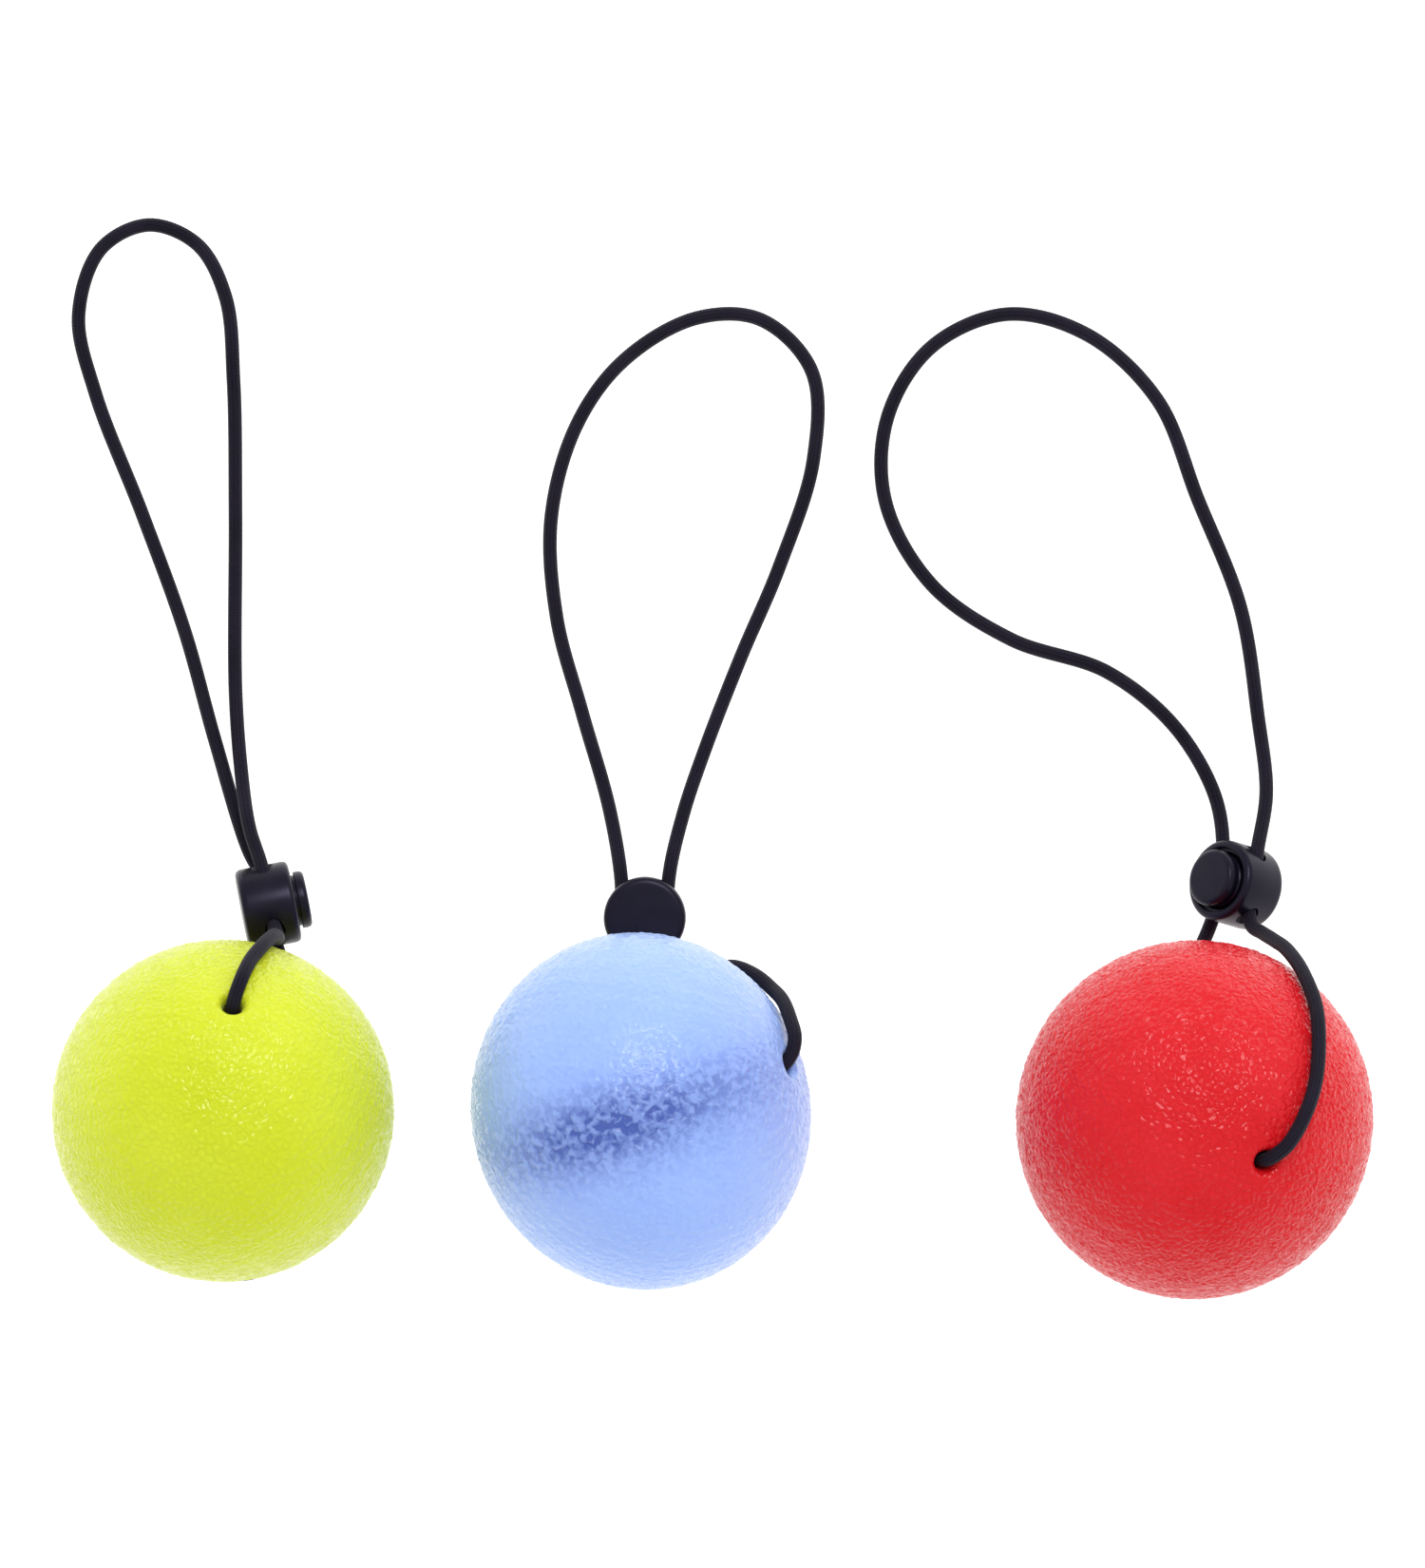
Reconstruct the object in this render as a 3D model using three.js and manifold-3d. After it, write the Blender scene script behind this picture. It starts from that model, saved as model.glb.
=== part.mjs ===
// Set of three gel hand balls. Each ball is threaded on its own loop of round elastic cord, and a
// double-hole spring lock grips both strands of the loop beside the ball. The set lies on a table.
// Millimetres. +X runs along the row of balls, +Y from the balls towards the loops, +Z up.

import * as THREE from "three";
import { mergeVertices } from "three/addons/utils/BufferGeometryUtils.js";
import Module from "manifold-3d";

const wasm = await Module();
wasm.setup();

// ---------------------------------------------------------------- driving dimensions

const CORD_RADIUS = 1.05;
const CORD_SIDES = 8;
const STEPS_PER_SPAN = 2;
const FIT_GAP = 0.3;

const BORE_RADIUS = CORD_RADIUS + FIT_GAP;
const CHAMBER_RADIUS = 2.2;
const CHAMBER_HALF = 5.2;
const CHAMBER_TAPER = 1.3;
const MOUTH_LIP = [[2.9, 0.0], [2.5, 0.3], [2.0, 0.9], [1.6, 1.8], [BORE_RADIUS, 3.0]];
const BALL_MERIDIAN_STEPS = 8;
const BALL_SEGMENTS = 24;

const SLEEVE_RADIUS = 1.85;
const SLEEVE_LENGTH = 9.0;
const SLEEVE_SEGMENTS = 12;

const BARREL_RADIUS = 6.1;
const BARREL_LENGTH = 8.0;
const BARREL_FLOOR = 0.7;
const BARREL_BORE = 4.35;
const RIM_RECESS_RADIUS = 4.9;
const RIM_RECESS_DEPTH = 0.8;
const CORD_HOLE_RADIUS = 1.45;
const CORD_HOLE_OFFSET = 3.5;
const CORD_HOLE_HEIGHT = 4.2;
const LOCK_SEGMENTS = 24;
const HOLE_SEGMENTS = 12;

const PRESS_TRAVEL = 1.2;
const PLUNGER_RADIUS = BARREL_BORE - FIT_GAP;
const PLUNGER_FOOT = BARREL_FLOOR + PRESS_TRAVEL + 0.2;
const NOTCH_BOTTOM = CORD_HOLE_HEIGHT - CORD_RADIUS - FIT_GAP;
const NOTCH_TOP = CORD_HOLE_HEIGHT + CORD_RADIUS + FIT_GAP + PRESS_TRAVEL;
const WEB_HALF = CORD_HOLE_OFFSET - CORD_RADIUS - FIT_GAP;
const NECK_RADIUS = 3.8;
const BUTTON_RADIUS = 4.25;
const BUTTON_UNDERSIDE = BARREL_LENGTH - RIM_RECESS_DEPTH + PRESS_TRAVEL + 0.1;
const BUTTON_TOP = BARREL_LENGTH + 2.0;

const SPRING_WIRE_RADIUS = 0.2;
const SPRING_COIL_RADIUS = 1.2;
const SPRING_TURNS = 5;
const SPRING_STEPS_PER_TURN = 8;
const SPRING_SIDES = 6;
const POCKET_RADIUS = 1.65;
const POCKET_TOP = NOTCH_TOP + 0.4;
const SPRING_BOTTOM = BARREL_FLOOR + FIT_GAP + SPRING_WIRE_RADIUS;
const SPRING_TOP = POCKET_TOP - FIT_GAP - SPRING_WIRE_RADIUS;

// ---------------------------------------------------------------- the three balls on their cords
// ball.centre is the middle of the ball, ball.bore the direction of its hole (towards the upper mouth),
// ball.girth the radius square to the hole and ball.polar the radius along it.
// lock.centre is the middle of the barrel, lock.press points out of the barrel through the button, and
// lock.strands runs along the two cord holes towards the ball.
// route is the cord, from its end in the ball out of the upper mouth, through the lock, round the loop,
// back through the lock and in at the lower mouth to its other end.

const UNITS = [
  {
    name: "yellow",
    gel: 0xd8e828,
    ball: { centre: [-71.7, -6.0, 24.6], bore: [0.1, 0.65, 0.75], girth: 25.0, polar: 25.0 },
    lock: { centre: [-66.15, 23.65, 6.5], press: [0.98, 0.19, -0.08], strands: [0.205, -0.929, 0.308] },
    route: [
      [-71.7, -5.7, 25.0], [-69.8, 6.4, 38.9], [-69.5, 8.3, 41.1], [-69.2, 10.0, 42.5],
      [-68.7, 11.8, 42.6], [-68.0, 13.8, 41.7], [-67.0, 16.2, 38.1], [-65.4, 18.4, 33.0],
      [-64.3, 19.6, 26.0], [-64.1, 19.2, 19.0], [-64.4, 19.4, 14.0], [-65.2, 21.4, 11.0],
      [-65.9, 24.9, 9.8], [-67.1, 29.8, 8.1], [-69.0, 35.4, 5.9], [-70.4, 44.0, 2.5],
      [-71.3, 56.0, 1.3], [-71.3, 82.0, 1.2], [-71.6, 102.0, 1.2], [-72.8, 114.4, 1.2],
      [-77.0, 122.2, 1.2], [-84.3, 125.1, 1.2], [-91.4, 121.5, 1.2], [-94.7, 111.6, 1.2],
      [-92.2, 100.0, 1.2], [-85.2, 82.0, 1.2], [-78.9, 64.6, 1.2], [-74.4, 48.4, 1.2],
      [-69.4, 32.0, 1.4], [-67.0, 27.4, 1.6], [-66.0, 22.5, 3.2], [-64.9, 17.5, 4.8],
      [-61.2, 8.0, 2.6], [-58.2, -6.0, 1.3], [-60.4, -19.6, 1.2], [-64.6, -28.0, 1.2],
      [-69.2, -31.2, 1.2], [-73.4, -30.4, 1.2], [-75.2, -26.8, 1.8], [-74.5, -23.6, 4.4],
      [-73.2, -15.8, 13.3], [-71.8, -6.6, 23.9],
    ],
  },
  {
    name: "blue",
    gel: 0x86a8f8,
    ball: { centre: [-10.6, -6.0, 25.6], bore: [0.888, 0.29, 0.355], girth: 26.2, polar: 24.5 },
    lock: { centre: [-10.2, 21.9, 6.1], press: [0, 0, -1], strands: [0, -1, 0] },
    route: [
      [-10.1, -5.8, 25.8], [5.8, -0.6, 32.2], [8.5, 0.2, 33.2], [10.3, 1.2, 33.8],
      [11.4, 2.8, 33.7], [11.8, 4.9, 33.0], [11.1, 7.7, 29.9], [10.1, 10.1, 25.6],
      [8.6, 11.7, 21.1], [6.2, 13.6, 17.4], [3.0, 14.8, 13.6], [-0.8, 14.2, 9.4],
      [-3.8, 13.9, 7.2], [-6.0, 15.2, 6.1], [-6.7, 18.0, 5.9], [-6.7, 27.3, 5.9],
      [-4.6, 37.0, 3.0], [-1.4, 46.6, 1.3], [4.0, 60.5, 1.2], [9.9, 74.4, 1.2],
      [14.9, 90.2, 1.2], [14.6, 103.4, 1.2], [7.0, 111.0, 1.2], [-2.6, 111.2, 1.2],
      [-13.4, 104.9, 1.2], [-20.4, 95.3, 1.2], [-24.2, 81.6, 1.2], [-23.4, 66.6, 1.2],
      [-19.6, 52.4, 1.3], [-15.6, 38.4, 2.6], [-13.7, 27.3, 5.9], [-13.7, 21.9, 5.9],
      [-13.7, 16.7, 5.9], [-17.2, 10.8, 4.8], [-25.0, 3.4, 2.8], [-30.6, -5.2, 4.6],
      [-33.4, -10.6, 9.0], [-32.4, -12.2, 12.6], [-32.3, -12.7, 15.1], [-31.5, -12.7, 16.8],
      [-29.7, -12.2, 18.0], [-21.3, -9.5, 21.3], [-11.1, -6.2, 25.4],
    ],
  },
  {
    name: "red",
    gel: 0xe82a32,
    ball: { centre: [70.3, -7.3, 24.8], bore: [0.36, -0.21, 0.91], girth: 26.3, polar: 25.0 },
    lock: { centre: [77.5, 26.8, 7.3], press: [-0.71, 0.21, 0.67], strands: [-0.15, -0.978, 0.146] },
    route: [
      [70.5, -7.4, 25.3], [77.1, -11.3, 42.1], [78.2, -11.9, 44.8], [79.2, -12.1, 46.7],
      [80.6, -11.4, 47.8], [82.3, -9.9, 48.2], [84.6, -6.2, 47.2], [86.6, -0.6, 44.8],
      [87.2, 8.5, 39.1], [85.7, 14.2, 32.4], [83.8, 17.5, 26.0], [82.3, 18.8, 20.5],
      [80.9, 19.8, 15.2], [79.5, 20.9, 12.0], [79.2, 23.2, 10.6], [79.8, 26.9, 10.0],
      [80.6, 32.1, 9.2], [82.2, 40.6, 4.6], [81.2, 51.6, 1.5], [78.6, 68.0, 1.2],
      [72.2, 84.3, 1.2], [66.2, 99.0, 1.2], [55.8, 108.7, 1.2], [43.8, 111.8, 1.2],
      [32.6, 107.0, 1.2], [26.0, 96.6, 1.2], [25.6, 84.0, 1.2], [32.4, 71.6, 1.2],
      [44.4, 63.3, 1.2], [58.6, 58.5, 1.2], [68.6, 50.5, 1.2], [74.6, 40.4, 1.6],
      [75.8, 32.1, 4.1], [75.0, 26.8, 4.9], [74.1, 21.6, 5.7], [69.4, 13.2, 4.4],
      [63.0, 11.2, 1.7], [57.4, 9.6, 1.2], [54.6, 5.6, 1.2], [55.4, 0.8, 1.2],
      [59.0, -1.9, 1.3], [61.9, -2.7, 3.8], [66.0, -4.8, 13.9], [70.1, -7.2, 24.3],
    ],
  },
];

// ---------------------------------------------------------------- solids: joining and cutting

function toSolid(geometry) {
  const bare = geometry.clone();
  bare.deleteAttribute("normal");
  bare.deleteAttribute("uv");
  const merged = mergeVertices(bare, 1e-4);
  const mesh = new wasm.Mesh({
    numProp: 3,
    vertProperties: merged.attributes.position.array,
    triVerts: new Uint32Array(merged.index.array),
  });
  return new wasm.Manifold(mesh);
}

function toGeometry(solid) {
  const mesh = solid.getMesh();
  const geometry = new THREE.BufferGeometry();
  geometry.setAttribute("position", new THREE.BufferAttribute(mesh.vertProperties, 3));
  geometry.setIndex(new THREE.BufferAttribute(mesh.triVerts, 1));
  geometry.computeVertexNormals();
  return geometry;
}

function cut(geometry, cutters) {
  let solid = toSolid(geometry);
  for (const cutter of cutters) {
    solid = solid.subtract(toSolid(cutter));
  }
  return toGeometry(solid);
}

// A solid turned about local Y from [radius, height] pairs. The profile starts and ends on the axis, or
// closes on itself.
function turned(profile, segments) {
  const points = profile.map(([radius, height]) => new THREE.Vector2(radius, height));
  return new THREE.LatheGeometry(points, segments);
}

function roundSection(radius, sides) {
  const outline = new THREE.Shape();
  for (let i = 0; i < sides; i += 1) {
    const angle = (2 * Math.PI * i) / sides;
    const x = radius * Math.cos(angle);
    const y = radius * Math.sin(angle);
    if (i === 0) {
      outline.moveTo(x, y);
    } else {
      outline.lineTo(x, y);
    }
  }
  outline.closePath();
  return outline;
}

function sweep(curve, steps, radius, sides) {
  return new THREE.ExtrudeGeometry(roundSection(radius, sides), { steps, extrudePath: curve });
}

// ---------------------------------------------------------------- gel ball

// Half of the ball's section, from its girth up over the mouth's soft lip and down the bore into the
// chamber that holds the cord's sleeve.
function ballHalfProfile({ girth, polar }) {
  const [lipRadius] = MOUTH_LIP[0];
  const lastAngle = Math.acos(lipRadius / girth);
  const half = [];
  for (let i = 0; i < BALL_MERIDIAN_STEPS; i += 1) {
    const angle = (lastAngle * i) / BALL_MERIDIAN_STEPS;
    half.push([girth * Math.cos(angle), polar * Math.sin(angle)]);
  }
  for (const [radius, depth] of MOUTH_LIP) {
    const surface = polar * Math.sin(lastAngle);
    half.push([radius, surface - depth]);
  }
  half.push([BORE_RADIUS, CHAMBER_HALF + CHAMBER_TAPER]);
  half.push([CHAMBER_RADIUS, CHAMBER_HALF]);
  return half;
}

function ballGeometry(ball, placement) {
  const upper = ballHalfProfile(ball);
  const lower = upper.slice(1).map(([radius, height]) => [radius, -height]);
  lower.reverse();
  const ring = [...lower, ...upper, lower[0]];
  const round = turned(ring, BALL_SEGMENTS);

  // The soft gel settles on the table and flattens there.
  const table = new THREE.BoxGeometry(60, 60, 20);
  table.translate(ball.centre[0], ball.centre[1], -10);
  table.applyMatrix4(placement.clone().invert());
  return cut(round, [table]);
}

// ---------------------------------------------------------------- cord and its sleeve

// A curve through the points that gives every span between two points the same number of steps, so the
// tight bends, where the points lie close together, stay round.
class CordRoute extends THREE.CatmullRomCurve3 {
  getPointAt(share, target) {
    return this.getPoint(share, target);
  }

  getTangentAt(share, target) {
    return this.getTangent(share, target);
  }
}

function cordGeometry(route) {
  const points = route.map(([x, y, z]) => new THREE.Vector3(x, y, z));
  const curve = new CordRoute(points);
  const spans = points.length - 1;
  return sweep(curve, spans * STEPS_PER_SPAN, CORD_RADIUS, CORD_SIDES);
}

function sleeveGeometry() {
  const half = SLEEVE_LENGTH / 2;
  const ring = [[BORE_RADIUS, -half], [SLEEVE_RADIUS, -half], [SLEEVE_RADIUS, half], [BORE_RADIUS, half]];
  return turned([...ring, ring[0]], SLEEVE_SEGMENTS);
}

// ---------------------------------------------------------------- cord lock
// Local Y runs from the barrel's closed end to the button, local Z along the two cord holes and local X
// from one hole to the other. The origin is in the middle of the barrel's closed face.

function barrelGeometry() {
  const recess = BARREL_LENGTH - RIM_RECESS_DEPTH;
  const profile = [
    [0, 0],
    [5.1, 0],
    [5.7, 0.3],
    [BARREL_RADIUS, 1.0],
    [BARREL_RADIUS, BARREL_LENGTH - 1.0],
    [5.8, BARREL_LENGTH - 0.3],
    [5.3, BARREL_LENGTH],
    [5.2, BARREL_LENGTH],
    [RIM_RECESS_RADIUS, BARREL_LENGTH - 0.3],
    [RIM_RECESS_RADIUS, recess],
    [BARREL_BORE, recess],
    [BARREL_BORE, BARREL_FLOOR],
    [0, BARREL_FLOOR],
  ];
  const holes = [-1, 1].map((side) => {
    const hole = new THREE.CylinderGeometry(CORD_HOLE_RADIUS, CORD_HOLE_RADIUS, 14, HOLE_SEGMENTS);
    hole.rotateX(Math.PI / 2);
    hole.translate(side * CORD_HOLE_OFFSET, CORD_HOLE_HEIGHT, 0);
    return hole;
  });
  return cut(turned(profile, LOCK_SEGMENTS), holes);
}

function plungerGeometry() {
  const profile = [
    [0, PLUNGER_FOOT],
    [PLUNGER_RADIUS, PLUNGER_FOOT],
    [PLUNGER_RADIUS, NOTCH_TOP + 0.6],
    [NECK_RADIUS, NOTCH_TOP + 0.9],
    [NECK_RADIUS, BUTTON_UNDERSIDE],
    [BUTTON_RADIUS, BUTTON_UNDERSIDE],
    [BUTTON_RADIUS, BUTTON_TOP - 0.4],
    [BUTTON_RADIUS - 0.5, BUTTON_TOP],
    [0, BUTTON_TOP],
  ];
  const notchHeight = NOTCH_TOP - NOTCH_BOTTOM;
  const cutters = [-1, 1].map((side) => {
    const notch = new THREE.BoxGeometry(4, notchHeight, 12);
    notch.translate(side * (WEB_HALF + 2), NOTCH_BOTTOM + notchHeight / 2, 0);
    return notch;
  });
  const pocketBottom = PLUNGER_FOOT - 1;
  const pocketDepth = POCKET_TOP - pocketBottom;
  const pocket = new THREE.CylinderGeometry(POCKET_RADIUS, POCKET_RADIUS, pocketDepth, HOLE_SEGMENTS);
  pocket.translate(0, pocketBottom + pocketDepth / 2, 0);
  cutters.push(pocket);
  return cut(turned(profile, LOCK_SEGMENTS), cutters);
}

class Helix extends THREE.Curve {
  getPoint(share, target = new THREE.Vector3()) {
    const angle = 2 * Math.PI * SPRING_TURNS * share;
    const height = SPRING_BOTTOM + (SPRING_TOP - SPRING_BOTTOM) * share;
    return target.set(SPRING_COIL_RADIUS * Math.cos(angle), height, SPRING_COIL_RADIUS * Math.sin(angle));
  }
}

function springGeometry() {
  return sweep(new Helix(), SPRING_TURNS * SPRING_STEPS_PER_TURN, SPRING_WIRE_RADIUS, SPRING_SIDES);
}

// ---------------------------------------------------------------- materials

function gel(color) {
  return new THREE.MeshStandardMaterial({ color, roughness: 0.4, metalness: 0 });
}

const WOVEN_ELASTIC = new THREE.MeshStandardMaterial({ color: 0x17161c, roughness: 0.85, metalness: 0 });
const BLACK_PLASTIC = new THREE.MeshStandardMaterial({ color: 0x1a191f, roughness: 0.35, metalness: 0 });
const SPRING_STEEL = new THREE.MeshStandardMaterial({ color: 0xb9bcc2, roughness: 0.3, metalness: 1 });
const TINNED_BRASS = new THREE.MeshStandardMaterial({ color: 0xa9abb0, roughness: 0.4, metalness: 1 });

// ---------------------------------------------------------------- assembly

function addPiece(group, name, geometry, material) {
  const mesh = new THREE.Mesh(geometry, material);
  mesh.name = name;
  group.add(mesh);
}

function buildBall(unit) {
  const group = new THREE.Group();
  const bore = new THREE.Vector3(...unit.ball.bore).normalize();
  group.position.set(...unit.ball.centre);
  group.quaternion.setFromUnitVectors(new THREE.Vector3(0, 1, 0), bore);
  group.updateMatrix();
  addPiece(group, `${unit.name}_ball`, ballGeometry(unit.ball, group.matrix), gel(unit.gel));
  addPiece(group, `${unit.name}_cord_sleeve`, sleeveGeometry(), TINNED_BRASS);
  return group;
}

function buildLock(unit) {
  const press = new THREE.Vector3(...unit.lock.press).normalize();
  const away = new THREE.Vector3(...unit.lock.strands).negate();
  away.addScaledVector(press, -away.dot(press)).normalize();
  const across = new THREE.Vector3().crossVectors(press, away);
  const group = new THREE.Group();
  group.quaternion.setFromRotationMatrix(new THREE.Matrix4().makeBasis(across, press, away));
  group.position.set(...unit.lock.centre).addScaledVector(press, -BARREL_LENGTH / 2);
  addPiece(group, `${unit.name}_lock_barrel`, barrelGeometry(), BLACK_PLASTIC);
  addPiece(group, `${unit.name}_lock_plunger`, plungerGeometry(), BLACK_PLASTIC);
  addPiece(group, `${unit.name}_lock_spring`, springGeometry(), SPRING_STEEL);
  return group;
}

const group = new THREE.Group();
for (const unit of UNITS) {
  group.add(buildBall(unit));
  group.add(buildLock(unit));
  addPiece(group, `${unit.name}_cord`, cordGeometry(unit.route), WOVEN_ELASTIC);
}

export default group;
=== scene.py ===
# Set of three gel hand balls, each on its own loop of round elastic cord with a spring cord lock.
# Metres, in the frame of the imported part: +X along the row of balls, +Y towards the loops, +Z up.

import math

import bpy
import numpy as np
from mathutils import Matrix, Vector, kdtree


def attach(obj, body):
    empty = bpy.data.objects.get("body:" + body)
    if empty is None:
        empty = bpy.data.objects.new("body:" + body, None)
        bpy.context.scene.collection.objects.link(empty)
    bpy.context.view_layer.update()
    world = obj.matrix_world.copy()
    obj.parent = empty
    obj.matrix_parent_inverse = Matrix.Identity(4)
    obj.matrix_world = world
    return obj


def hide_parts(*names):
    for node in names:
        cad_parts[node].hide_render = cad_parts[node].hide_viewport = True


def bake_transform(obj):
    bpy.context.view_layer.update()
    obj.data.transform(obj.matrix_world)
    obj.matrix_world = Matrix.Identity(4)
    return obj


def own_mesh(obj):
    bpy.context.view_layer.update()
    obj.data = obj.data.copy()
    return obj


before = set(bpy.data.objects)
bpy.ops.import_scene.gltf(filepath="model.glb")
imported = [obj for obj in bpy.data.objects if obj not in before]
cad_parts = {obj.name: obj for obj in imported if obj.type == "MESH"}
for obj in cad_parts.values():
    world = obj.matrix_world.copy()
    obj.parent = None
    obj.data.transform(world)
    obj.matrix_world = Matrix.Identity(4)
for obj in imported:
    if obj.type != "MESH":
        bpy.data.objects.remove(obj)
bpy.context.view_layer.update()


# ---------------------------------------------------------------- camera
# It hangs high over the middle of the set and looks straight down, with the loops at the top.

camera_data = bpy.data.cameras.new("camera")
camera_data.sensor_width = 36
camera_data.lens = 184.6
camera = bpy.data.objects.new("camera", camera_data)
camera.location = (-0.00016, 0.04175, 1.2)
bpy.context.scene.collection.objects.link(camera)
bpy.context.scene.camera = camera
bpy.context.scene.view_settings.view_transform = "Standard"


# ---------------------------------------------------------------- elastic cords
# Round elastic: a bundle of rubber strands inside a tight woven cover of black yarn, 2.1 mm
# across. Each loop's two ends go into its ball, and both its strands pass through the lock, which
# slides on them.

MM = 0.001
CORD_RADIUS = 1.05 * MM
RIB_PITCH = 0.4 * MM
RIB_HEIGHT = 0.03 * MM
CORD_SIDES = 16
YARNS_ROUND = 6

# The line that each cord lies along, from the middle of its ball out at the upper mouth, through
# the lock, round the loop, back through the lock and in at the lower mouth.
CORD_ROUTES = {
    "yellow": [
        (-0.0717, -0.0057, 0.0250), (-0.0698, 0.0064, 0.0389), (-0.0695, 0.0083, 0.0411),
        (-0.0692, 0.0100, 0.0425), (-0.0687, 0.0118, 0.0426), (-0.0680, 0.0138, 0.0417),
        (-0.0670, 0.0162, 0.0381), (-0.0654, 0.0184, 0.0330), (-0.0643, 0.0196, 0.0260),
        (-0.0641, 0.0192, 0.0190), (-0.0644, 0.0194, 0.0140), (-0.0652, 0.0214, 0.0110),
        (-0.0659, 0.0249, 0.0098), (-0.0671, 0.0298, 0.0081), (-0.0690, 0.0354, 0.0059),
        (-0.0704, 0.0440, 0.0025), (-0.0713, 0.0560, 0.0013), (-0.0713, 0.0820, 0.0012),
        (-0.0716, 0.1020, 0.0012), (-0.0728, 0.1144, 0.0012), (-0.0770, 0.1222, 0.0012),
        (-0.0843, 0.1251, 0.0012), (-0.0914, 0.1215, 0.0012), (-0.0947, 0.1116, 0.0012),
        (-0.0922, 0.1000, 0.0012), (-0.0852, 0.0820, 0.0012), (-0.0789, 0.0646, 0.0012),
        (-0.0744, 0.0484, 0.0012), (-0.0694, 0.0320, 0.0014), (-0.0670, 0.0274, 0.0016),
        (-0.0660, 0.0225, 0.0032), (-0.0649, 0.0175, 0.0048), (-0.0612, 0.0080, 0.0026),
        (-0.0582, -0.0060, 0.0013), (-0.0604, -0.0196, 0.0012), (-0.0646, -0.0280, 0.0012),
        (-0.0692, -0.0312, 0.0012), (-0.0734, -0.0304, 0.0012), (-0.0752, -0.0268, 0.0018),
        (-0.0745, -0.0236, 0.0044), (-0.0732, -0.0158, 0.0133), (-0.0718, -0.0066, 0.0239),
    ],
    "blue": [
        (-0.0101, -0.0058, 0.0258), (0.0058, -0.0006, 0.0322), (0.0085, 0.0002, 0.0332),
        (0.0103, 0.0012, 0.0338), (0.0114, 0.0028, 0.0337), (0.0118, 0.0049, 0.0330),
        (0.0111, 0.0077, 0.0299), (0.0101, 0.0101, 0.0256), (0.0086, 0.0117, 0.0211),
        (0.0062, 0.0136, 0.0174), (0.0030, 0.0148, 0.0136), (-0.0008, 0.0142, 0.0094),
        (-0.0038, 0.0139, 0.0072), (-0.0060, 0.0152, 0.0061), (-0.0067, 0.0180, 0.0059),
        (-0.0067, 0.0273, 0.0059), (-0.0046, 0.0370, 0.0030), (-0.0014, 0.0466, 0.0013),
        (0.0040, 0.0605, 0.0012), (0.0099, 0.0744, 0.0012), (0.0149, 0.0902, 0.0012),
        (0.0146, 0.1034, 0.0012), (0.0070, 0.1110, 0.0012), (-0.0026, 0.1112, 0.0012),
        (-0.0134, 0.1049, 0.0012), (-0.0204, 0.0953, 0.0012), (-0.0242, 0.0816, 0.0012),
        (-0.0234, 0.0666, 0.0012), (-0.0196, 0.0524, 0.0013), (-0.0156, 0.0384, 0.0026),
        (-0.0137, 0.0273, 0.0059), (-0.0137, 0.0219, 0.0059), (-0.0137, 0.0167, 0.0059),
        (-0.0172, 0.0108, 0.0048), (-0.0250, 0.0034, 0.0028), (-0.0306, -0.0052, 0.0046),
        (-0.0334, -0.0106, 0.0090), (-0.0324, -0.0122, 0.0126), (-0.0323, -0.0127, 0.0151),
        (-0.0315, -0.0127, 0.0168), (-0.0297, -0.0122, 0.0180), (-0.0213, -0.0095, 0.0213),
        (-0.0111, -0.0062, 0.0254),
    ],
    "red": [
        (0.0705, -0.0074, 0.0253), (0.0771, -0.0113, 0.0421), (0.0782, -0.0119, 0.0448),
        (0.0793, -0.0121, 0.0467), (0.0806, -0.0114, 0.0478), (0.0823, -0.0099, 0.0482),
        (0.0846, -0.0062, 0.0472), (0.0866, -0.0006, 0.0448), (0.0872, 0.0085, 0.0391),
        (0.0857, 0.0142, 0.0324), (0.0838, 0.0175, 0.0260), (0.0823, 0.0188, 0.0205),
        (0.0809, 0.0198, 0.0152), (0.0795, 0.0209, 0.0120), (0.0792, 0.0232, 0.0106),
        (0.0798, 0.0269, 0.0100), (0.0806, 0.0321, 0.0092), (0.0822, 0.0406, 0.0046),
        (0.0812, 0.0516, 0.0015), (0.0786, 0.0680, 0.0012), (0.0722, 0.0843, 0.0012),
        (0.0662, 0.0990, 0.0012), (0.0558, 0.1087, 0.0012), (0.0438, 0.1118, 0.0012),
        (0.0326, 0.1070, 0.0012), (0.0260, 0.0966, 0.0012), (0.0256, 0.0840, 0.0012),
        (0.0324, 0.0716, 0.0012), (0.0444, 0.0633, 0.0012), (0.0586, 0.0585, 0.0012),
        (0.0686, 0.0505, 0.0012), (0.0746, 0.0404, 0.0016), (0.0758, 0.0321, 0.0041),
        (0.0750, 0.0268, 0.0049), (0.0741, 0.0216, 0.0057), (0.0694, 0.0132, 0.0044),
        (0.0630, 0.0112, 0.0017), (0.0574, 0.0096, 0.0012), (0.0546, 0.0056, 0.0012),
        (0.0554, 0.0008, 0.0012), (0.0590, -0.0019, 0.0013), (0.0619, -0.0027, 0.0038),
        (0.0660, -0.0048, 0.0139), (0.0701, -0.0072, 0.0243),
    ],
}

PLACES_BETWEEN_POINTS = 40


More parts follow.
